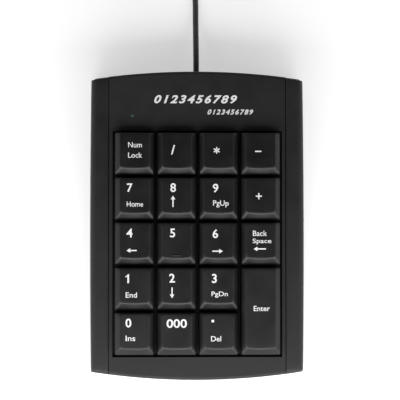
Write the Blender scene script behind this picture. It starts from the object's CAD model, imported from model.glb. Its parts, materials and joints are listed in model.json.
"""Looks of a desktop numeric keypad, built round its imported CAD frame.

Lengths in this file are millimetres, and become metres where something is made or placed.
Deck coordinates are X, Y along the sloping deck, and W out of it, with W at 0 on its surface.
"""

import json
import math

import bmesh
import bpy
from mathutils import Matrix, Vector


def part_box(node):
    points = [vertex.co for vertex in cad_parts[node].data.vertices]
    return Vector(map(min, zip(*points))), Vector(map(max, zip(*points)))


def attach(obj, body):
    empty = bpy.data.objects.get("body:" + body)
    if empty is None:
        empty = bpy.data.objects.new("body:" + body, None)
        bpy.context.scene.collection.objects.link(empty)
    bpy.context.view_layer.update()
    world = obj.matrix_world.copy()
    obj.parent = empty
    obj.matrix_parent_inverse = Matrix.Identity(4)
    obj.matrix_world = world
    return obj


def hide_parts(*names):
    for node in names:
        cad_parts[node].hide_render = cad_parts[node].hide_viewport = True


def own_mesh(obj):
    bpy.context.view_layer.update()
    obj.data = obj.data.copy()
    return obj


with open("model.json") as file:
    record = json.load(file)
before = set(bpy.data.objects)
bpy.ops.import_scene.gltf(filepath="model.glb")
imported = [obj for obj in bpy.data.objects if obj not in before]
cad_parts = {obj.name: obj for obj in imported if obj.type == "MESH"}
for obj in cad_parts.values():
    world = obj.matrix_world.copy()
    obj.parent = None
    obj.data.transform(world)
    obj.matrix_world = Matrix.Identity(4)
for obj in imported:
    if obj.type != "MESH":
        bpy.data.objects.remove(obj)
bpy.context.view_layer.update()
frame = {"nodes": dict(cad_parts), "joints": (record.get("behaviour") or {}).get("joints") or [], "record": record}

MM = 0.001
JOINTS = {joint["name"]: joint for joint in frame["joints"]}
PRESS_AXIS = Vector(JOINTS["press_5"]["axis"])
TILT = math.atan2(PRESS_AXIS.y, -PRESS_AXIS.z)
DECK_H = 20


# ---- Places ----


def on_deck(x, y, w):
    """A point in deck coordinates, in the frame's metres."""
    c, s = math.cos(TILT), math.sin(TILT)
    return Vector((x, y * c - w * s, DECK_H + y * s + w * c)) * MM


def deck_extent(node):
    """Lowest and highest deck coordinates of a CAD node."""
    c, s = math.cos(TILT), math.sin(TILT)
    points = []
    for vertex in frame["nodes"][node].data.vertices:
        x, y, z = vertex.co / MM
        z -= DECK_H
        points.append((x, y * c + z * s, z * c - y * s))
    return [min(a) for a in zip(*points)], [max(a) for a in zip(*points)]


# ---- Camera ----

CAMERA_DISTANCE = 750
CAMERA_AIM = Vector((1.2, 11.1, DECK_H))
LEAN_LEFT = math.radians(1.9)
LEAN_FRONT = math.radians(6)
CAMERA_ROLL = math.radians(-0.15)
CAMERA_LENS = 153.2
SENSOR_W = 36
CAMERA_NEAR = 10


def add_camera():
    """Camera above the keypad, a little to its left and front, with its top edge towards the back."""
    data = bpy.data.cameras.new("camera")
    data.lens = CAMERA_LENS
    data.sensor_width = SENSOR_W
    data.clip_start = CAMERA_NEAR * MM
    camera = bpy.data.objects.new("camera", data)
    bpy.context.scene.collection.objects.link(camera)
    back = Vector((-math.tan(LEAN_LEFT), -math.tan(LEAN_FRONT), 1)).normalized()
    right = Vector((0, 1, 0)).cross(back).normalized()
    turn = Matrix((right, back.cross(right), back)).transposed().to_4x4()
    place = Matrix.Translation((CAMERA_AIM + back * CAMERA_DISTANCE) * MM)
    camera.matrix_world = place @ turn @ Matrix.Rotation(CAMERA_ROLL, 4, "Z")
    bpy.context.scene.camera = camera


add_camera()


# ---- Materials ----


def new_tree(name):
    """A new material with its node tree and its shader."""
    material = bpy.data.materials.new(name)
    material.use_nodes = True
    tree = material.node_tree
    shader = next(n for n in tree.nodes if n.type == "BSDF_PRINCIPLED")
    return material, tree, shader


def add_node(tree, kind, inputs=None, **settings):
    """A node whose inputs are each a value or another node's output."""
    node = tree.nodes.new(kind)
    for key, value in settings.items():
        setattr(node, key, value)
    for key, value in (inputs or {}).items():
        if isinstance(value, bpy.types.NodeSocket):
            tree.links.new(value, node.inputs[key])
        else:
            node.inputs[key].default_value = value
    return node


def noise(tree, size, detail=2.0, roughness=0.5, stretch=(1, 1, 1)):
    """Noise whose blotches are about size millimetres across."""
    place = add_node(tree, "ShaderNodeTexCoord").outputs["Object"]
    if stretch != (1, 1, 1):
        place = add_node(tree, "ShaderNodeMapping", {"Vector": place, "Scale": stretch}).outputs["Vector"]
    inputs = {"Vector": place, "Scale": 1 / (size * MM), "Detail": detail, "Roughness": roughness}
    return add_node(tree, "ShaderNodeTexNoise", inputs).outputs["Fac"]


def remap(tree, value, low, high, from_low=0.3, from_high=0.7):
    """Value moved from one range to another, and clamped."""
    inputs = {"Value": value, "From Min": from_low, "From Max": from_high, "To Min": low, "To Max": high}
    return add_node(tree, "ShaderNodeMapRange", inputs).outputs["Result"]


def mix(tree, factor, a, b):
    """Blend of two colours."""
    node = add_node(tree, "ShaderNodeMix", data_type="RGBA")
    for socket, value in ((node.inputs[0], factor), (node.inputs[6], a), (node.inputs[7], b)):
        if isinstance(value, bpy.types.NodeSocket):
            tree.links.new(value, socket)
        elif socket.type == "RGBA":
            socket.default_value = (*value, 1)
        else:
            socket.default_value = value
    return node.outputs[2]


def bump(tree, shader, height, strength, depth):
    """Relief of depth millimetres."""
    node = add_node(tree, "ShaderNodeBump", {"Height": height, "Strength": strength, "Distance": depth * MM})
    tree.links.new(node.outputs["Normal"], shader.inputs["Normal"])


def worn(tree, amount):
    """1 on sharp outer edges, fading to 0 on flat surfaces, times amount."""
    point = add_node(tree, "ShaderNodeNewGeometry").outputs["Pointiness"]
    return remap(tree, point, 0, amount, 0.51, 0.58)


def moulded_plastic(name, dark, light, rough, grain=0.35, depth=0.012, wear=0.3):
    """Injection-moulded plastic with a spark-eroded grain, faint handling marks and paler edges."""
    material, tree, shader = new_tree(name)
    cloud = remap(tree, noise(tree, 16, 3), 0, 1)
    colour = mix(tree, cloud, dark, light)
    pale = tuple(2.2 * c + 0.006 for c in light)
    colour = mix(tree, worn(tree, wear), colour, pale)
    tree.links.new(colour, shader.inputs["Base Color"])
    marks = remap(tree, noise(tree, 9, 4, 0.6), rough - 0.05, rough + 0.06)
    tree.links.new(marks, shader.inputs["Roughness"])
    bump(tree, shader, noise(tree, grain, 3, 0.65), 0.6, depth)
    return material


def metal(name, colour, tint, rough, stretch):
    """Metal with drawn or rolled streaks and a little tarnish."""
    material, tree, shader = new_tree(name)
    tree.links.new(mix(tree, noise(tree, 6, 4), colour, tint), shader.inputs["Base Color"])
    streaks = noise(tree, 0.5, 4, 0.6, stretch)
    tree.links.new(remap(tree, streaks, rough - 0.08, rough + 0.1), shader.inputs["Roughness"])
    shader.inputs["Metallic"].default_value = 1
    bump(tree, shader, streaks, 0.3, 0.01)
    return material


def rubbery(name, dark, light, rough, grain=0.5, depth=0.02, sheen=0.0, clear=0.0):
    """Rubber, silicone or soft vinyl, with a dusty bloom."""
    material, tree, shader = new_tree(name)
    tree.links.new(mix(tree, remap(tree, noise(tree, 5, 4), 0, 1), dark, light), shader.inputs["Base Color"])
    tree.links.new(remap(tree, noise(tree, 3, 3), rough - 0.06, rough + 0.06), shader.inputs["Roughness"])
    shader.inputs["Sheen Weight"].default_value = sheen
    shader.inputs["Transmission Weight"].default_value = clear
    bump(tree, shader, noise(tree, grain, 2), 0.4, depth)
    return material


def clear_film(name):
    """Polyester film, hazed, with the membrane's printed silver tracks as faint bands."""
    material, tree, shader = new_tree(name)
    place = add_node(tree, "ShaderNodeTexCoord").outputs["Object"]
    waves = {"Vector": place, "Scale": 60, "Distortion": 3, "Detail": 1}
    tracks = add_node(tree, "ShaderNodeTexWave", waves, bands_direction="X").outputs["Fac"]
    line = remap(tree, tracks, 0, 1, 0.86, 0.9)
    tree.links.new(mix(tree, line, (0.62, 0.68, 0.7), (0.36, 0.37, 0.38)), shader.inputs["Base Color"])
    tree.links.new(remap(tree, noise(tree, 8), 0.2, 0.34), shader.inputs["Roughness"])
    shader.inputs["Transmission Weight"].default_value = 0.35
    return material


def circuit_laminate(name):
    """Green solder mask over tracks, with tinned pads."""
    material, tree, shader = new_tree(name)
    place = add_node(tree, "ShaderNodeTexCoord").outputs["Object"]
    grid = {"Vector": place, "Scale": 220, "Mortar Size": 0.03, "Brick Width": 0.9, "Row Height": 0.3,
            "Color1": (0, 0, 0, 1), "Color2": (0, 0, 0, 1), "Mortar": (1, 1, 1, 1)}
    tracks = add_node(tree, "ShaderNodeTexBrick", grid).outputs["Color"]
    colour = mix(tree, tracks, (0.02, 0.13, 0.04), (0.07, 0.27, 0.09))
    tree.links.new(colour, shader.inputs["Base Color"])
    tree.links.new(remap(tree, noise(tree, 3), 0.22, 0.36), shader.inputs["Roughness"])
    bump(tree, shader, tracks, 0.5, 0.03)
    return material


def translucent_lens(name):
    """Unlit milky green light pipe."""
    material, tree, shader = new_tree(name)
    colour = mix(tree, noise(tree, 0.6), (0.025, 0.06, 0.045), (0.05, 0.1, 0.08))
    tree.links.new(colour, shader.inputs["Base Color"])
    tree.links.new(remap(tree, noise(tree, 0.8), 0.32, 0.42), shader.inputs["Roughness"])
    shader.inputs["Transmission Weight"].default_value = 0.2
    return material


def printed_ink(name):
    """White pad-printed ink, a little uneven and matt."""
    material, tree, shader = new_tree(name)
    colour = mix(tree, remap(tree, noise(tree, 0.4, 3), 0, 1), (0.86, 0.86, 0.86), (0.97, 0.97, 0.97))
    tree.links.new(colour, shader.inputs["Base Color"])
    tree.links.new(remap(tree, noise(tree, 1, 2), 0.55, 0.7), shader.inputs["Roughness"])
    return material


STEEL = ((0.56, 0.57, 0.58), (0.44, 0.45, 0.46))
GOLD = ((0.78, 0.55, 0.2), (0.7, 0.48, 0.17))
CASE_BLACK = ((0.0085, 0.0083, 0.0087), (0.0115, 0.0112, 0.0116))
KEY_BLACK = ((0.0065, 0.0063, 0.0066), (0.0088, 0.0086, 0.0089))
INNER_BLACK = ((0.007, 0.007, 0.0075), (0.01, 0.01, 0.011))
CHIP_BLACK = ((0.012, 0.012, 0.013), (0.022, 0.022, 0.024))
PLUG_BLACK = ((0.012, 0.012, 0.013), (0.018, 0.018, 0.019))
RUBBER_BLACK = ((0.012, 0.012, 0.012), (0.022, 0.022, 0.022))
JACKET_GREY = ((0.045, 0.045, 0.046), (0.07, 0.07, 0.072))
CERAMIC = ((0.34, 0.26, 0.16), (0.5, 0.4, 0.26))
SLEEVE_BLUE = ((0.03, 0.035, 0.12), (0.045, 0.05, 0.16))
NYLON = ((0.72, 0.69, 0.6), (0.82, 0.8, 0.72))
FOIL_GREY = ((0.5, 0.5, 0.49), (0.6, 0.6, 0.58))
MILKY = ((0.6, 0.6, 0.56), (0.72, 0.72, 0.68))
WIRES = {
    "red": (0.5, 0.02, 0.02), "white": (0.75, 0.75, 0.72),
    "green": (0.03, 0.26, 0.07), "black": (0.02, 0.02, 0.02),
}


def make_materials():
    """One material for each slot of the record."""
    made = {
        "case_plastic": moulded_plastic("case_plastic", *CASE_BLACK, 0.52),
        "key_plastic": moulded_plastic("key_plastic", *KEY_BLACK, 0.385, 0.25, 0.006, 0.25),
        "inner_plastic": moulded_plastic("inner_plastic", *INNER_BLACK, 0.5, 0.6),
        "chip": moulded_plastic("chip", *CHIP_BLACK, 0.55, 0.15),
        "component": moulded_plastic("component", *CERAMIC, 0.4, 0.3),
        "sleeve": moulded_plastic("sleeve", *SLEEVE_BLUE, 0.3, 0.8, 0.004),
        "header": moulded_plastic("header", *NYLON, 0.4, 0.5, 0.01, 0.0),
        "plug_plastic": moulded_plastic("plug_plastic", *PLUG_BLACK, 0.46, 0.4),
        "label": moulded_plastic("label", *FOIL_GREY, 0.35, 0.8, 0.006, 0.0),
        "steel": metal("steel", *STEEL, 0.34, (1, 0.05, 1)),
        "contact": metal("contact", *GOLD, 0.24, (0.05, 1, 1)),
        "silicone": rubbery("silicone", *MILKY, 0.5, clear=0.15),
        "rubber": rubbery("rubber", *RUBBER_BLACK, 0.75, sheen=0.2),
        "cable_jacket": rubbery("cable_jacket", *JACKET_GREY, 0.5, 0.4, 0.02),
        "film": clear_film("film"),
        "board": circuit_laminate("board"),
        "lens": translucent_lens("lens"),
        "legend_print": printed_ink("legend_print"),
    }
    for name, colour in WIRES.items():
        lighter = tuple(min(1, 1.25 * c + 0.004) for c in colour)
        made["wire_" + name] = rubbery("wire_" + name, colour, lighter, 0.38, 0.6, 0.01)
    return made


MATERIALS = make_materials()
SLOT_OF = {part["node"]: part["material_slot"] for part in frame["record"]["subparts"]}


# ---- Meshes ----


class Shape:
    """Vertices, in millimetres, and faces, gathered piece by piece."""

    def __init__(self):
        self.points = []
        self.faces = []

    def add(self, points, faces):
        """More points, with faces that count from the first of them."""
        first = len(self.points)
        self.points += [Vector(p) for p in points]
        self.faces += [tuple(first + i for i in face) for face in faces]

    def loft(self, loops, start=None, end=None):
        """Skin over closed loops of equal count. start and end are the points that close its ends."""
        n = len(loops[0])
        points = [p for loop in loops for p in loop]
        faces = []
        for k in range(len(loops) - 1):
            for i in range(n):
                j = (i + 1) % n
                faces.append((k * n + i, k * n + j, k * n + n + j, k * n + n + i))
        for tip, base, turn in ((start, 0, -1), (end, (len(loops) - 1) * n, 1)):
            if tip is None:
                faces.append(tuple(base + i for i in range(n))[::turn])
                continue
            points.append(tip)
            for i in range(n):
                face = (base + i, base + (i + 1) % n, len(points) - 1)
                faces.append(face[::turn])
        self.add(points, faces)

    def prism(self, outline, y0, y1):
        """Outline on X and W, carried from y0 to y1."""
        near = [(x, y0, w) for x, w in outline]
        far = [(x, y1, w) for x, w in outline]
        n = len(outline)
        faces = [tuple(range(n)), tuple(range(2 * n - 1, n - 1, -1))]
        faces += [(i, i + n, (i + 1) % n + n, (i + 1) % n) for i in range(n)]
        self.add(near + far, faces)

    def build(self, name, slot, place, sharp=40):
        """A mesh object, with its points put in the frame by place."""
        mesh = bpy.data.meshes.new(name)
        mesh.from_pydata([place(*p) for p in self.points], [], self.faces)
        cleaner = bmesh.new()
        cleaner.from_mesh(mesh)
        bmesh.ops.recalc_face_normals(cleaner, faces=cleaner.faces)
        for edge in cleaner.edges:
            edge.smooth = len(edge.link_faces) == 2 and edge.calc_face_angle() < math.radians(sharp)
        for face in cleaner.faces:
            face.smooth = True
        cleaner.to_mesh(mesh)
        cleaner.free()
        return finish_piece(bpy.data.objects.new(name, mesh), slot)


def finish_piece(piece, slot):
    """Links a new piece with the material of its slot."""
    piece.data.materials.append(MATERIALS[slot])
    bpy.context.scene.collection.objects.link(piece)
    return piece


def rounded_outline(x0, x1, y0, y1, r, corner=6, across=14, along=10):
    """Rounded rectangle as points, counterclockwise, with its sides subdivided."""
    corners = [(x1 - r, y1 - r, 0), (x0 + r, y1 - r, 90), (x0 + r, y0 + r, 180), (x1 - r, y0 + r, 270)]
    starts = [(x1 - r, y1), (x0, y1 - r), (x0 + r, y0), (x1, y0 + r)]
    ends = [(x0 + r, y1), (x0, y0 + r), (x1 - r, y0), (x1, y1 - r)]
    points = []
    for (cx, cy, angle), a, b, steps in zip(corners, starts, ends, (across, along, across, along)):
        for k in range(corner):
            turn = math.radians(angle + 90 * k / corner)
            points.append((cx + r * math.cos(turn), cy + r * math.sin(turn)))
        for k in range(steps):
            points.append((a[0] + (b[0] - a[0]) * k / steps, a[1] + (b[1] - a[1]) * k / steps))
    return points


# ---- Cable ----

CORD_D = 2.6
COIL_AT = (-26, 139)
COIL_R = 15.6
COIL_COLS = 3
COIL_ROWS = 4
STEPS_PER_TURN = 36
SHIFT_PART = 0.8
ROUTE_OUT = [
    (0, 60.6, 8), (0, 66, 8), (0, 72, 8), (0, 77, 7.6), (0, 82, 6.4), (0, 87, 4.6),
    (0, 92, 2.8), (0, 97, 1.7), (0, 102, 1.3), (-0.3, 108, 1.3), (-1.2, 114, 1.3),
    (-2.8, 120, 1.3), (-5, 126, 1.3), (-6.8, 132, 1.3),
]
ROUTE_TAIL = [
    (-22, 120.8, 9.1), (-18, 120.8, 8.8), (-14, 120.8, 7.9), (-10, 120.8, 6.7),
    (-6, 120.8, 5.5), (-2, 120.8, 4.6), (2, 120.8, 4.1), (6, 120.8, 4),
]


def coil_turns():
    """Points of the coil: inward on one layer and outward on the next, ending three quarters round."""
    places = []
    for row in range(COIL_ROWS):
        columns = range(COIL_COLS) if row % 2 else range(COIL_COLS - 1, -1, -1)
        places += [(COIL_R + (c - 1) * CORD_D, (row + 0.5) * CORD_D) for c in columns]
    points = []
    for k in range(int((len(places) - 0.25) * STEPS_PER_TURN) + 1):
        turn, part = divmod(k / STEPS_PER_TURN, 1)
        here = places[int(turn)]
        following = places[min(int(turn) + 1, len(places) - 1)]
        s = max(0, (part - SHIFT_PART) / (1 - SHIFT_PART))
        s = s * s * (3 - 2 * s)
        r = here[0] + s * (following[0] - here[0])
        z = here[1] + s * (following[1] - here[1])
        angle = 2 * math.pi * part
        points.append((COIL_AT[0] + r * math.cos(angle), COIL_AT[1] + r * math.sin(angle), z))
    return points


def smoothed(points, steps=3):
    """Catmull-Rom curve through points."""
    points = [Vector(p) for p in points]
    result = []
    for i in range(len(points) - 1):
        a = points[max(i - 1, 0)]
        b, c = points[i], points[i + 1]
        d = points[min(i + 2, len(points) - 1)]
        for k in range(steps):
            t = k / steps
            result.append(0.5 * (2 * b + (c - a) * t + (2 * a - 5 * b + 4 * c - d) * t * t
                                 + (3 * b - a - 3 * c + d) * t ** 3))
    return result + [points[-1]]


def add_cable():
    """The cable as one curve, from its cut end inside the case to the plug."""
    turns = coil_turns()
    path = smoothed(ROUTE_OUT + [turns[0]]) + [Vector(p) for p in turns[1:]]
    path += smoothed([turns[-1]] + ROUTE_TAIL)[1:]
    curve = bpy.data.curves.new("cable", "CURVE")
    curve.dimensions = "3D"
    curve.bevel_depth = CORD_D / 2 * MM
    curve.bevel_resolution = 4
    curve.use_fill_caps = True
    spline = curve.splines.new("POLY")
    spline.points.add(len(path) - 1)
    for point, place in zip(spline.points, path):
        point.co = (*(place * MM), 1)
    spline.use_smooth = True
    cable = finish_piece(bpy.data.objects.new("cable", curve), "cable_jacket")
    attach(cable, "case")
    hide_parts("cable_run", "cable_coil")


add_cable()


# ---- Keys ----

# Keycap: height of its rim and of its skirt's foot, dish, and how far the top lies in from the base
RIM_W = 6.2
FOOT_W = -1
DISH = 0.75
IN_SIDE = 2.5
IN_FRONT = 3.1
IN_BACK = 0.5
BASE_R = 0.7
TOP_R = 1.2
SHELL_T = 1.2
FOOT_T = 1.0
EDGE_ROUND = 0.6
EDGE_STEPS = 6
SETTLE_STEPS = 6
# Skirt: shares of its way in and of its height at its shoulder, and how much of each side the shoulder
# rounds, then how far up and in its lowest loop lies
SHOULDER = (0.05, 0.68)
SHOULDER_PART = 0.22
FOOT_SHARE = 0.01
FOOT_TUCK = 0.12
WALL_STEPS = (0.02, 0.35, 0.7)
SHOULDER_STEPS = (0, 0.25, 0.5, 0.75, 1)
LEAN_STEPS = (0.3, 0.45, 0.6)
CROWN_STEPS = (0.93, 0.82, 0.66, 0.48, 0.3, 0.12)
# Stem and clips start a little way up inside the shell
ROOT_W = RIM_W - DISH - SHELL_T + 0.2
STEM_HALF = 2.4
STEM_FOOT = -6.9
STEM_SLIT_TOP = -1.5
STEM_SLIT_HALF = 1.1
HOOK_W = -5.9
HOOK_OUT = 0.6
HOOK_TIP_IN = 0.1


def curved(start, bend, end, t):
    """Point on the curve from start to end that bend pulls to itself."""
    return start * (1 - t) ** 2 + bend * 2 * t * (1 - t) + end * t ** 2


class Cap:
    """The outer form of one keycap, in deck coordinates."""

    def __init__(self, node):
        low, high = deck_extent(node)
        self.x0, self.x1 = low[0], high[0]
        self.y0, self.y1 = low[1], high[1]
        self.cx = (self.x0 + self.x1) / 2
        self.cy = (self.y0 + self.y1) / 2
        half = (self.x1 - self.x0) / 2 - IN_SIDE
        self.dish_r = (half * half + DISH * DISH) / (2 * DISH)

    def top_w(self, x):
        """Height of the dished top, which is a hollow along Y."""
        dx = min(abs(x - self.cx), self.dish_r)
        return RIM_W - DISH + self.dish_r - math.sqrt(self.dish_r ** 2 - dx ** 2)

    def level(self, f, inner=0.0):
        """Outline a share f of the way up the skirt, from its foot."""
        return rounded_outline(
            self.x0 + IN_SIDE * f + inner, self.x1 - IN_SIDE * f - inner,
            self.y0 + IN_FRONT * f + inner, self.y1 - IN_BACK * f - inner, BASE_R + (TOP_R - BASE_R) * f)

    def skirt_top(self, foot, rim):
        """Where the line from foot to rim meets the dished top."""
        f = 1.0
        for _ in range(SETTLE_STEPS):
            x = foot.x + (rim.x - foot.x) * f
            f = min(1.0, (self.top_w(x) - FOOT_W) / (RIM_W - FOOT_W))
        return foot.lerp(rim, f)

    def outer_loops(self):
        """Loops from the foot up the skirt, over its edge and across the top, with the top's middle."""
        feet = [Vector((x, y, FOOT_W)) for x, y in self.level(0)]
        rims = [Vector((x, y, RIM_W)) for x, y in self.level(1)]
        tops = [self.skirt_top(a, b) for a, b in zip(feet, rims)]
        middle = Vector((self.cx, (self.y0 + IN_FRONT + self.y1 - IN_BACK) / 2, 0))
        bends = [self.bend(a, b) for a, b in zip(feet, tops)]
        loops = [[Vector((x, y, FOOT_W)) for x, y in self.level(FOOT_SHARE, FOOT_TUCK)]]
        for f in WALL_STEPS:
            loops.append([a.lerp(m, f) for a, m in zip(feet, bends)])
        befores = [m.lerp(a, SHOULDER_PART) for a, m in zip(feet, bends)]
        afters = [m.lerp(b, SHOULDER_PART) for m, b in zip(bends, tops)]
        for t in SHOULDER_STEPS:
            loops.append([curved(p, m, q, t) for p, m, q in zip(befores, bends, afters)])
        for f in LEAN_STEPS:
            loops.append([m.lerp(b, f) for m, b in zip(bends, tops)])
        for k in range(EDGE_STEPS + 1):
            t = k / EDGE_STEPS
            loop = []
            for a, b in zip(bends, tops):
                low = b + (a - b).normalized() * EDGE_ROUND
                inward = self.inward(b, middle)
                high = self.on_top(b + inward * EDGE_ROUND)
                loop.append(curved(low, b, high, t))
            loops.append(loop)
        edge = loops[-1]
        for s in CROWN_STEPS:
            loops.append([self.on_top(middle + (p - middle) * s) for p in edge])
        return loops, self.on_top(middle)

    def bend(self, foot, top):
        """The skirt's shoulder, where it stops being steep and leans in towards its top."""
        return Vector((*foot.lerp(top, SHOULDER[0]).xy, FOOT_W + (top.z - FOOT_W) * SHOULDER[1]))

    def inward(self, point, middle):
        """Direction on the top from its edge towards the inside, square to the outline."""
        half_x = (self.x1 - self.x0) / 2 - IN_SIDE - TOP_R
        half_y = (self.y1 - self.y0 - IN_FRONT - IN_BACK) / 2 - TOP_R
        core_x = max(-half_x, min(half_x, point.x - middle.x)) + middle.x
        core_y = max(-half_y, min(half_y, point.y - middle.y)) + middle.y
        return (Vector((core_x, core_y, 0)) - Vector((point.x, point.y, 0))).normalized()

    def on_top(self, point):
        """A point brought up or down to the dished top."""
        return Vector((point.x, point.y, self.top_w(point.x)))

    def inner_loops(self):
        """The hollow under the top, from the ceiling down to the foot."""
        ceiling = RIM_W - DISH - SHELL_T
        f = (ceiling - FOOT_W) / (RIM_W - FOOT_W)
        high = [Vector((x, y, ceiling)) for x, y in self.level(f, SHELL_T)]
        low = [Vector((x, y, FOOT_W)) for x, y in self.level(FOOT_SHARE, FOOT_T)]
        return [high, low], Vector((self.cx, self.cy, ceiling))


def add_stem(shape, cap):
    """Square stem, split at its foot into two springy arms with hooks."""
    h = STEM_HALF
    half = [
        (h, ROOT_W), (h, HOOK_W), (h + HOOK_OUT, HOOK_W), (h - HOOK_TIP_IN, STEM_FOOT),
        (STEM_SLIT_HALF, STEM_FOOT), (STEM_SLIT_HALF, STEM_SLIT_TOP),
    ]
    outline = half + [(-x, w) for x, w in reversed(half)]
    shape.prism([(cap.cx + x, w) for x, w in outline], cap.cy - h, cap.cy + h)


WIRE_R = 0.6
CLIP_HALF = 1.0
CLIP_WALL = 0.7
CLIP_PLAY = 0.1
CLIP_LIP = 0.3
CLIP_MOUTH = 0.9
# Room for the sideways shift of the wire's arms, and how far a clip stands in from the wire's end
CLIP_SLOT = 0.25
CLIP_IN = 2


def add_wire_clips(shape, cap):
    """Clips inside the tall key, round the two bent ends of the stabilizer wire."""
    low, high = deck_extent("enter_stabilizer_wire")
    end_x, end_w = high[0] - WIRE_R, high[2] - WIRE_R
    x0, x1 = end_x - WIRE_R - CLIP_PLAY, end_x + WIRE_R + CLIP_SLOT
    w0, w1 = end_w - WIRE_R - CLIP_PLAY, end_w + WIRE_R + CLIP_PLAY
    foot = w0 - CLIP_PLAY
    mouth = (x0 + CLIP_LIP, x0 + CLIP_LIP + CLIP_MOUTH)
    outline = [
        (x0 - CLIP_WALL, ROOT_W), (x0 - CLIP_WALL, foot), (mouth[0], foot), (mouth[0], w0), (x0, w0),
        (x0, w1), (x1, w1), (x1, w0), (mouth[1], w0), (mouth[1], foot), (x1 + CLIP_WALL, foot),
        (x1 + CLIP_WALL, ROOT_W),
    ]
    for y in (low[1] + WIRE_R + CLIP_IN, high[1] - WIRE_R - CLIP_IN):
        shape.prism(outline, y - CLIP_HALF, y + CLIP_HALF)


HOMING = {"half": 1.7, "y": -5.1, "r": 0.42, "crest": 0.25, "rise": 0.4, "sunk": 0.1}
HOMING_STEPS = 5


def add_homing_bar(shape, cap):
    """Low rounded bar that a fingertip finds on the middle key."""
    y = cap.cy + HOMING["y"]
    loops = []
    for k in range(HOMING_STEPS + 1):
        turn = math.radians(90 * k / HOMING_STEPS)
        r = HOMING["r"] * (HOMING["crest"] + (1 - HOMING["crest"]) * math.cos(turn))
        reach = HOMING["half"] + r
        outline = rounded_outline(cap.cx - reach, cap.cx + reach, y - r, y + r, r, across=8, along=1)
        lift = HOMING["rise"] * math.sin(turn) - HOMING["sunk"]
        loops.append([Vector((px, py, cap.top_w(px) + lift)) for px, py in outline])
    shape.loft(loops)


def add_keycap(node):
    """One keycap as a closed shell with its stem, in place of its CAD node."""
    cap = Cap(node)
    shape = Shape()
    outer, crown = cap.outer_loops()
    inner, ceiling = cap.inner_loops()
    shape.loft([*inner, *outer], start=ceiling, end=crown)
    add_stem(shape, cap)
    if node == "key_enter":
        add_wire_clips(shape, cap)
    if node == "key_5":
        add_homing_bar(shape, cap)
    piece = shape.build("cap_" + node.removeprefix("key_"), "key_plastic", on_deck)
    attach(piece, node)
    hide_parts(node)
    return cap


# ---- Rubber domes ----

SHEET_FOOT = -10.9
SHEET_T = 0.6
# A dome's section as radius and W: up its hollow from the plunger to the foot, and then up its outside
DOME_TOP = -6.95
DOME_R = 5.2
DOME_INSIDE = [
    (1.2, -10), (1.4, -9.8), (1.5, -7.9), (2.4, -7.9), (3.1, -8.7), (4.0, -9.9), (4.6, -10.6),
    (4.6, SHEET_FOOT),
]
DOME_OUTSIDE = [
    (DOME_R, SHEET_FOOT), (DOME_R, SHEET_FOOT + SHEET_T), (4.6, -9.6), (3.7, -8.4), (3.1, -7.5),
    (2.95, -7.15), (2.75, DOME_TOP), (1.4, DOME_TOP),
]
DOME_HOLE_R = DOME_R + 0.02
SCREW_HOLE_R = 2.5
CUT_PAST = 1
DOME_SIDES = 40
DOME_SHARP = 30


def disc(cx, cy, r, w):
    """Points round a circle on the deck's plane."""
    turns = [2 * math.pi * k / DOME_SIDES for k in range(DOME_SIDES)]
    return [Vector((cx + r * math.cos(a), cy + r * math.sin(a), w)) for a in turns]


def add_dome(name, cap):
    """The rubber dome under a key, which flattens as the key goes down."""
    loops = [disc(cap.cx, cap.cy, r, w) for r, w in DOME_INSIDE + DOME_OUTSIDE]
    start, end = (Vector((cap.cx, cap.cy, w)) for w in (DOME_INSIDE[0][1], DOME_TOP))
    shape = Shape()
    shape.loft(loops, start=start, end=end)
    piece = shape.build("dome_" + name, "silicone", on_deck, DOME_SHARP)
    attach(piece, "case")
    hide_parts("rubber_dome_sheet")
    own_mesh(piece)


def add_dome_sheet(caps):
    """The flat part of the dome sheet, with a hole for each dome and for each screw of the backing plate."""
    low, high = deck_extent("rubber_dome_sheet")
    foot, top = SHEET_FOOT, SHEET_FOOT + SHEET_T
    plate = Shape()
    plate.prism([(low[0], foot), (high[0], foot), (high[0], top), (low[0], top)], low[1], high[1])
    holes = [(cap.cx, cap.cy, DOME_HOLE_R) for cap in caps.values()]
    columns = [(caps[a].x1 + caps[b].x0) / 2 for a, b in (("num_lock", "divide"), ("multiply", "minus"))]
    rows = [(caps[a].y1 + caps[b].y0) / 2 for a, b in (("0", "1"), ("1", "4"), ("7", "num_lock"))]
    holes += [(x, y, SCREW_HOLE_R) for x in columns for y in rows]
    cutter = Shape()
    for x, y, r in holes:
        cutter.loft([disc(x, y, r, foot - CUT_PAST), disc(x, y, r, top + CUT_PAST)])
    tool = cutter.build("dome_sheet_holes", "silicone", on_deck)
    piece = plate.build("dome_sheet", "silicone", on_deck)
    cut = piece.modifiers.new("holes", "BOOLEAN")
    cut.operation = "DIFFERENCE"
    cut.object = tool
    graph = bpy.context.evaluated_depsgraph_get()
    mesh = bpy.data.meshes.new_from_object(piece.evaluated_get(graph))
    piece.modifiers.clear()
    piece.data = mesh
    bpy.data.objects.remove(tool)
    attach(piece, "case")
    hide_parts("rubber_dome_sheet")


# ---- Side rails ----

PLAN_L = 135.6
FRONT_R = 300
BACK_R = 320
BULGE = 0.5
END_STEP = 0.35
RAIL_T = 2
SKIRT_T = 1.6
SKIRT_Z = 8.1
ROLL_R = 3
RIM_R = 1.2
SEAM_R = 0.25
SEAM_BEVEL = 0.3 * SEAM_R
RAIL_FOOT = 0.2
# Clips under a rail: where they stand, half their length, and their section on X and W
RAIL_CLIPS = (-56, -28, 10, 48)
RAIL_CLIP_HALF = 2
RAIL_CLIP = [(40.3, 0.3 - RAIL_T), (41.5, 0.3 - RAIL_T), (41.5, -4.5), (42.2, -4.5), (41.5, -6), (40.3, -6)]
FLAT_STEPS = (0.35, 0.7)
ROLL_STEPS = 12
RIM_STEPS = 6
RAIL_STATIONS = 40


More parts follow.
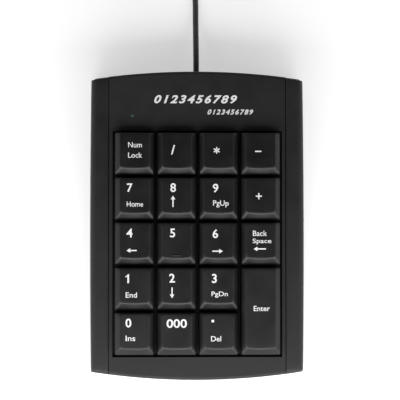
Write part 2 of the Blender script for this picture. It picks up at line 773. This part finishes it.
def rail_front(x):
    """Y of a rail's front end, on a wide arc a small step behind the case's."""
    return FRONT_R - PLAN_L / 2 - math.sqrt((FRONT_R - END_STEP) ** 2 - x * x)


def rail_back(x):
    """Y of a rail's back end, in the same way."""
    return PLAN_L / 2 - BACK_R + math.sqrt((BACK_R - END_STEP) ** 2 - x * x)


def rail_stations():
    """Functions of X that give Y at each station from front to back, with how far the top has sunk there."""
    turns = [math.radians(90 * k / RIM_STEPS) for k in range(RIM_STEPS)]
    rim = [(RIM_R - RIM_R * math.cos(turn), RIM_R - RIM_R * math.sin(turn)) for turn in turns]
    stations = [(lambda x, d=d: rail_front(x) + d, sunk) for d, sunk in rim]
    for k in range(RAIL_STATIONS + 1):
        t = k / RAIL_STATIONS
        stations.append((lambda x, t=t: (rail_front(x) + RIM_R) * (1 - t) + (rail_back(x) - RIM_R) * t, 0))
    stations += [(lambda x, d=d: rail_back(x) - d, sunk) for d, sunk in reversed(rim)]
    return stations


def add_rail(node, side):
    """A rail as one section carried from front to back, with its clips under it."""
    low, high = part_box(node)
    seam_x = (low if side > 0 else high)[0] / MM * side
    edge_x = (high if side > 0 else low)[0] / MM * side
    c, s = math.cos(TILT), math.sin(TILT)
    loops = []
    for y_at, sunk in rail_stations():
        middle = y_at(edge_x)
        outer = edge_x - BULGE * (2 * middle / PLAN_L) ** 2
        section = [(seam_x, -RAIL_T), (seam_x, -SEAM_R - sunk)]
        section += [(seam_x + SEAM_BEVEL, -SEAM_BEVEL - sunk), (seam_x + SEAM_R, -sunk)]
        section += [(seam_x + (outer - ROLL_R - seam_x) * f, -sunk) for f in FLAT_STEPS]
        for k in range(ROLL_STEPS + 1):
            turn = math.radians(90 * k / ROLL_STEPS)
            across, drop = ROLL_R * math.sin(turn), ROLL_R * math.cos(turn) - ROLL_R
            section.append((outer - ROLL_R + across, drop - sunk))
        foot = (SKIRT_Z - DECK_H - middle * s / c) * c
        section += [(outer, foot + RAIL_FOOT), (outer - RAIL_FOOT, foot)]
        section += [(outer - SKIRT_T, foot), (outer - SKIRT_T, -RAIL_T)]
        loops.append([(side * x, (y_at(x) + w * s) / c, w) for x, w in section])
    shape = Shape()
    shape.loft(loops)
    for y in RAIL_CLIPS:
        shape.prism([(side * x, w) for x, w in RAIL_CLIP], y - RAIL_CLIP_HALF, y + RAIL_CLIP_HALF)
    piece = shape.build(node + "_skin", "case_plastic", on_deck)
    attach(piece, "case")
    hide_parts(node)


add_rail("left_side_rail", -1)
add_rail("right_side_rail", 1)


# ---- Print ----

# Ink: half its thickness, the strips that let it follow a curved top, how bold its text is, and its slant
INK_T = 0.02
STRIP = 0.6
DIGIT_BOLD = 0.02
WORD_BOLD = 0.008
PANEL_BOLD = 0.032
SLANT = 0.3


def glyphs(text, bold, slant=0.0, spacing=1.0):
    """Flat mesh of some text, in its own units."""
    curve = bpy.data.curves.new("glyphs", "FONT")
    curve.body = text
    curve.offset = bold
    curve.shear = slant
    curve.space_character = spacing
    curve.resolution_u = 4
    source = bpy.data.objects.new("glyphs", curve)
    bpy.context.scene.collection.objects.link(source)
    graph = bpy.context.evaluated_depsgraph_get()
    mesh = bpy.data.meshes.new_from_object(source.evaluated_get(graph))
    points = [v.co.xy.copy() for v in mesh.vertices]
    faces = [tuple(p.vertices) for p in mesh.polygons]
    bpy.data.objects.remove(source)
    bpy.data.curves.remove(curve)
    bpy.data.meshes.remove(mesh)
    return points, faces


def fitted(flat, x, y, w, h, keep_shape=False):
    """Flat shape moved and scaled to fill a box whose lower left corner is at x, y.

    With keep_shape it fills the box's height only, in the middle of its width.
    """
    points, faces = flat
    low = [min(p[i] for p in points) for i in (0, 1)]
    high = [max(p[i] for p in points) for i in (0, 1)]
    sy = h / (high[1] - low[1])
    sx = sy if keep_shape else w / (high[0] - low[0])
    x += (w - sx * (high[0] - low[0])) / 2
    return [Vector((x + (p[0] - low[0]) * sx, y + (p[1] - low[1]) * sy)) for p in points], faces


def bar(x, y, w, h):
    """Rectangle as a flat shape."""
    return [Vector(p) for p in ((x, y), (x + w, y), (x + w, y + h), (x, y + h))], [(0, 1, 2, 3)]


def one(x, y, h):
    """The digit 1, with a flag and no foot."""
    points = [(0.21, 0), (0.4, 0), (0.4, 1), (0.286, 1), (0.21, 0.9), (0, 0.75), (0, 0.63), (0.21, 0.76)]
    return [Vector((x + px * h, y + py * h)) for px, py in points], [tuple(range(len(points)))]


ARROW_SHAFT = 0.55
ARROW_HEAD = 1.0
ARROW_HEAD_L = 1.7


def arrow(x, y, length, turn):
    """Arrow from x, y towards an angle in degrees."""
    s, h, n = ARROW_SHAFT / 2, ARROW_HEAD, length - ARROW_HEAD_L
    points = [(0, -s), (n, -s), (n, s), (0, s), (n, -h), (length, 0), (n, h)]
    c, d = math.cos(math.radians(turn)), math.sin(math.radians(turn))
    turned = [Vector((x + px * c - py * d, y + px * d + py * c)) for px, py in points]
    return turned, [(0, 1, 2, 3), (4, 5, 6)]


ASTERISK_HALF = 0.26


def asterisk(x, y, r):
    """Three crossed bars round x, y."""
    points, faces = [], []
    for k in range(3):
        a = math.radians(30 + 60 * k)
        along = Vector((math.cos(a), math.sin(a))) * r
        side = Vector((-math.sin(a), math.cos(a))) * ASTERISK_HALF
        first = len(points)
        points += [Vector((x, y)) + p for p in (-along - side, along - side, along + side, -along + side)]
        faces.append(tuple(first + i for i in range(4)))
    return points, faces


def add_print(name, flats, height, body):
    """Printed shapes as thin layers of ink that follow the surface whose height is a function of X."""
    ink = bmesh.new()
    for points, faces in flats:
        made = [ink.verts.new((*p, 0)) for p in points]
        for face in faces:
            ink.faces.new([made[i] for i in face])
    xs = [v.co.x for v in ink.verts]
    x = min(xs) + STRIP
    while x < max(xs):
        everything = ink.verts[:] + ink.edges[:] + ink.faces[:]
        bmesh.ops.bisect_plane(ink, geom=everything, plane_co=(x, 0, 0), plane_no=(1, 0, 0))
        x += STRIP
    bmesh.ops.recalc_face_normals(ink, faces=ink.faces)
    for face in ink.faces:
        if face.normal.z < 0:
            face.normal_flip()
    raised = bmesh.ops.extrude_face_region(ink, geom=ink.faces[:])["geom"]
    top = {v for v in raised if isinstance(v, bmesh.types.BMVert)}
    for vertex in ink.verts:
        px, py, _ = vertex.co
        vertex.co = on_deck(px, py, height(px) + (INK_T if vertex in top else -INK_T))
    bmesh.ops.recalc_face_normals(ink, faces=ink.faces)
    mesh = bpy.data.meshes.new(name)
    ink.to_mesh(mesh)
    ink.free()
    piece = finish_piece(bpy.data.objects.new(name, mesh), "legend_print")
    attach(piece, body)


# What is printed on each key, from the key's middle: text with the box that it fills, or a drawn sign
LEGENDS = {
    "num_lock": [("Num", -2.8, 2.6, 6.0, 2.3), ("Lock", -2.8, -1.9, 6.1, 2.3)],
    "divide": [("/", -2.7, -0.5, 2.2, 4.2)],
    "multiply": [(asterisk, -0.9, 1.4, 1.45)],
    "minus": [(bar, -2.5, 0.7, 2.8, 0.55)],
    "7": [("7", -3.4, 2.8, 2.6, 3.8), ("Home", -3.4, -3.6, 7.2, 2.3)],
    "8": [("8", -2.8, 2.8, 2.5, 3.9), (arrow, -1.6, -3.7, 5.0, 90)],
    "9": [("9", -2.7, 2.6, 2.6, 3.9), ("PgUp", -2.5, -3.9, 6.8, 3.1)],
    "plus": [(bar, -2.2, 0.77, 2.7, 0.55), (bar, -1.12, -0.3, 0.55, 2.7)],
    "4": [("4", -3.5, 2.7, 2.7, 3.9), (arrow, 1.0, -3.0, 4.5, 180)],
    "5": [("5", -3.1, 2.7, 2.6, 3.9)],
    "6": [("6", -2.8, 2.4, 2.6, 3.9), (arrow, -2.8, -3.3, 4.6, 0)],
    "backspace": [
        ("Back", -3.5, 3.3, 6.2, 2.4), ("Space", -3.6, -0.4, 8.2, 2.6), (arrow, 2.2, -2.3, 5.4, 180),
    ],
    "1": [(one, -3.9, 2.5, 3.9), ("End", -3.8, -3.8, 4.9, 2.3)],
    "2": [("2", -3.3, 2.7, 2.6, 3.9), (arrow, -2.0, 0.6, 4.7, 270)],
    "3": [("3", -3.2, 2.5, 2.5, 4.0), ("PgDn", -3.2, -3.9, 7.1, 2.7)],
    "enter": [("Enter", -3.2, 0.1, 7.1, 2.3)],
    "0": [("0", -3.9, 2.9, 2.6, 3.9), ("Ins", -3.8, -3.0, 4.2, 2.4)],
    "000": [("000", -4.4, 2.7, 8.9, 3.8)],
    "decimal": [(bar, -3.2, 5.1, 1.1, 1.1), ("Del", -3.4, -3.2, 4.4, 2.3)],
}


def add_legend(name, cap):
    """Everything printed on one key, as one piece of ink."""
    flats = []
    for item in LEGENDS[name]:
        if isinstance(item[0], str):
            word = item[0].isalpha()
            flat = fitted(glyphs(item[0], WORD_BOLD if word else DIGIT_BOLD), *item[1:], len(item[0]) == 1)
        else:
            flat = item[0](*item[1:])
        flats.append(([p + Vector((cap.cx, cap.cy)) for p in flat[0]], flat[1]))
    add_print("legend_" + name, flats, cap.top_w, "key_" + name)


CAPS = {key: add_keycap("key_" + key) for key in LEGENDS}
for key, cap in CAPS.items():
    add_legend(key, cap)
    add_dome(key, cap)
add_dome_sheet(CAPS)

# Plain rows of digits on the panel behind the keys: text, its spacing, and the box that it fills
PANEL_PRINT = [("0123456789", 1.28, -19.0, 53.6, 36.6, 3.8), ("0123456789", 1.28, 4.5, 48.7, 20.2, 2.4)]


def add_panel_print():
    """The panel's rows as one piece of ink."""
    flats = [fitted(glyphs(text, PANEL_BOLD, SLANT, gap), *where) for text, gap, *where in PANEL_PRINT]
    add_print("panel_print", flats, lambda x: 0, "case")


add_panel_print()


# ---- CAD nodes ----

# Width of the soft edge given to the nodes whose edges show
EDGES = {
    "plug_overmould": 0.5, "plug_shell": 0.12, "cable_tie": 0.3, "rubber_feet": 0.2, "cable_grommet": 0.2,
}
WELD_GAP = 0.001
SHARP_FROM = math.radians(32)


def soften_edges(node, width):
    """Rounds a node's edges with modifiers, which leave its mesh as it is."""
    piece = frame["nodes"][node]
    weld = piece.modifiers.new("weld", "WELD")
    weld.merge_threshold = WELD_GAP * MM
    bevel = piece.modifiers.new("bevel", "BEVEL")
    bevel.width = width * MM
    bevel.segments = 2
    bevel.limit_method = "ANGLE"
    bevel.angle_limit = SHARP_FROM
    bevel.harden_normals = True


def dress_nodes():
    """Every CAD node gets the material of its slot."""
    for name, piece in frame["nodes"].items():
        piece.data.materials.clear()
        piece.data.materials.append(MATERIALS[SLOT_OF[name]])
        if name in EDGES:
            soften_edges(name, EDGES[name])


dress_nodes()


# ---- Floor and light ----

FLOOR_HALF = 3000
FLOOR_GLOW = 0.5
WALL_GLOW = 0.35
# Each soft light's place, its size across and along, and its power in watts
SOFTBOXES = {
    "front_softbox": ((0, -240, 220), (450, 260), 1.25),
    "left_softbox": ((-450, -240, 240), (300, 500), 0.74),
    "right_softbox": ((450, -240, 240), (300, 500), 0.74),
}


def add_floor():
    """Pale floor that glows a little, as a light table does."""
    mesh = bpy.data.meshes.new("floor")
    h = FLOOR_HALF * MM
    mesh.from_pydata([(-h, -h, 0), (h, -h, 0), (h, h, 0), (-h, h, 0)], [], [(0, 1, 2, 3)])
    floor = bpy.data.objects.new("floor", mesh)
    bpy.context.scene.collection.objects.link(floor)
    material, tree, shader = new_tree("floor")
    colour = mix(tree, noise(tree, 300), (0.88, 0.88, 0.88), (0.9, 0.9, 0.9))
    tree.links.new(colour, shader.inputs["Base Color"])
    shader.inputs["Roughness"].default_value = 0.8
    shader.inputs["Emission Color"].default_value = (1, 1, 1, 1)
    shader.inputs["Emission Strength"].default_value = FLOOR_GLOW
    floor.data.materials.append(material)


def add_softbox(name, place, size, power):
    """Area light that faces the frame's origin."""
    data = bpy.data.lights.new(name, "AREA")
    data.shape = "RECTANGLE"
    data.size, data.size_y = size[0] * MM, size[1] * MM
    data.energy = power
    light = bpy.data.objects.new(name, data)
    bpy.context.scene.collection.objects.link(light)
    light.location = Vector(place) * MM
    light.rotation_euler = Vector(place).to_track_quat("Z", "Y").to_euler()


def add_studio():
    """Pale studio walls all round under a dark ceiling, which the flat tops would mirror."""
    world = bpy.data.worlds.new("studio")
    world.use_nodes = True
    tree = world.node_tree
    direction = add_node(tree, "ShaderNodeTexCoord").outputs["Generated"]
    height = add_node(tree, "ShaderNodeSeparateXYZ", {"Vector": direction}).outputs["Z"]
    background = tree.nodes["Background"]
    tree.links.new(remap(tree, height, WALL_GLOW, 0, 0.55, 0.8), background.inputs["Strength"])
    background.inputs["Color"].default_value = (1, 1, 1, 1)
    bpy.context.scene.world = world


def add_light():
    """The studio, and soft light from the front and both sides."""
    add_studio()
    for name, (place, size, power) in SOFTBOXES.items():
        add_softbox(name, place, size, power)
    bpy.context.scene.view_settings.view_transform = "Standard"


add_floor()
add_light()
